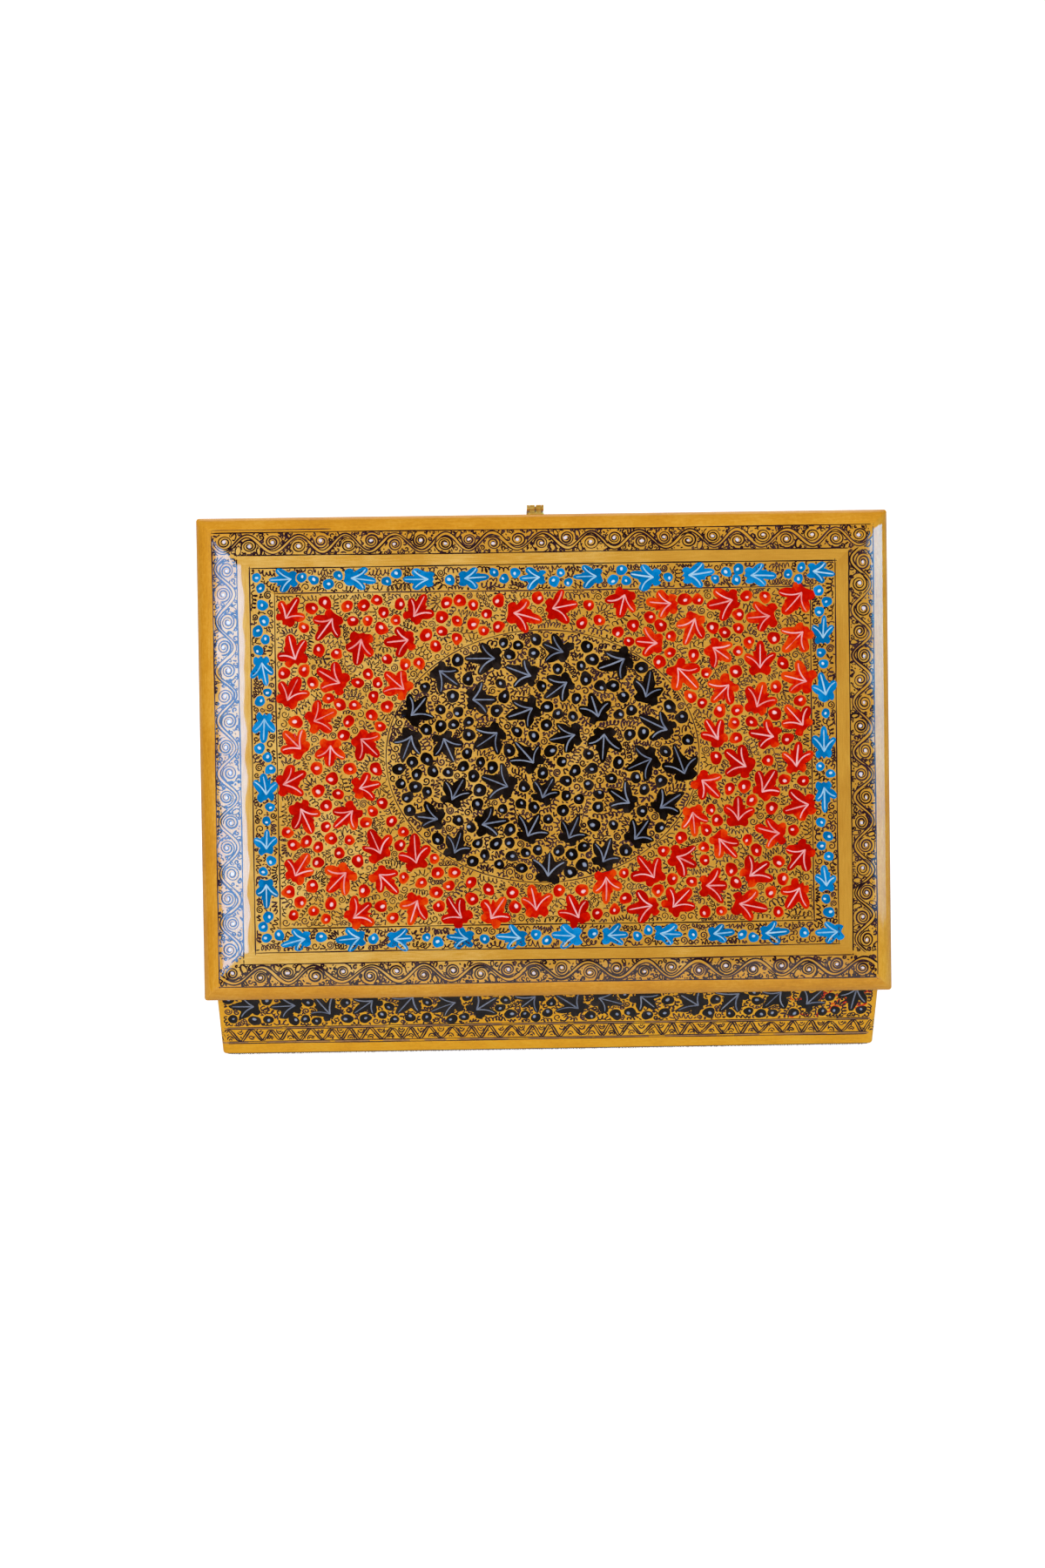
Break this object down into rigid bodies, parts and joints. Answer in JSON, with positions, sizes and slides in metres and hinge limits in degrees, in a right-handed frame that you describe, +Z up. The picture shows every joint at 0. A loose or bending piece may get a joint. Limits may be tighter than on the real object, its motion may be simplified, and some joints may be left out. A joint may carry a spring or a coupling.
{
  "type": "lidded box",
  "caption": "Flat rectangular hinged keepsake box: an open tray with a bevelled overhanging lid on butt hinges and a hasp clasp, painted with leaves and berries on gold.",
  "frame": {"origin": "middle of the underside of the cloth that the box rests on", "axes": "+Z up, +X along the length, +Y towards the clasp, so the hinges are at the back, on the -Y side"},
  "size_m": [0.21, 0.152, 0.1548],
  "materials": {
    "painted_pulp": "pressed paper pulp, gold paint under clear gloss lacquer",
    "felt": "thin dark cloth",
    "brass": "thin stamped sheet and drawn pins, bright"
  },
  "bodies": {
    "tray": {"base_felt": "felt", "base_board": "painted_pulp", "front_wall": "painted_pulp", "back_wall": "painted_pulp", "left_wall": "painted_pulp", "right_wall": "painted_pulp", "left_hinge_tray_leaf": "brass", "right_hinge_tray_leaf": "brass", "left_hinge_pin": "brass", "right_hinge_pin": "brass", "hinge_tray_tacks": "brass", "keeper_plate": "brass", "keeper_knob": "brass", "keeper_tacks": "brass"},
    "lid": {"lid_board": "painted_pulp", "lid_front_rim": "painted_pulp", "lid_back_rim": "painted_pulp", "lid_left_rim": "painted_pulp", "lid_right_rim": "painted_pulp", "left_hinge_lid_leaf": "brass", "right_hinge_lid_leaf": "brass", "hinge_lid_tacks": "brass", "clasp_plate": "brass", "clasp_pin": "brass", "clasp_tacks": "brass"},
    "hasp": {"hasp_tongue": "brass"}
  },
  "joints": [
    {"name": "lid_hinge", "type": "hinge", "parent": "tray", "child": "lid", "pos_m": [0, -0.0712, 0.02565], "axis": [1, 0, 0], "range_deg": [-60, 40]},
    {"name": "hasp_hinge", "type": "hinge", "parent": "lid", "child": "hasp", "pos_m": [-0.0019, 0.00003, 0.15392], "axis": [1, 0, 0], "range_deg": [-12, 150]}
  ]
}
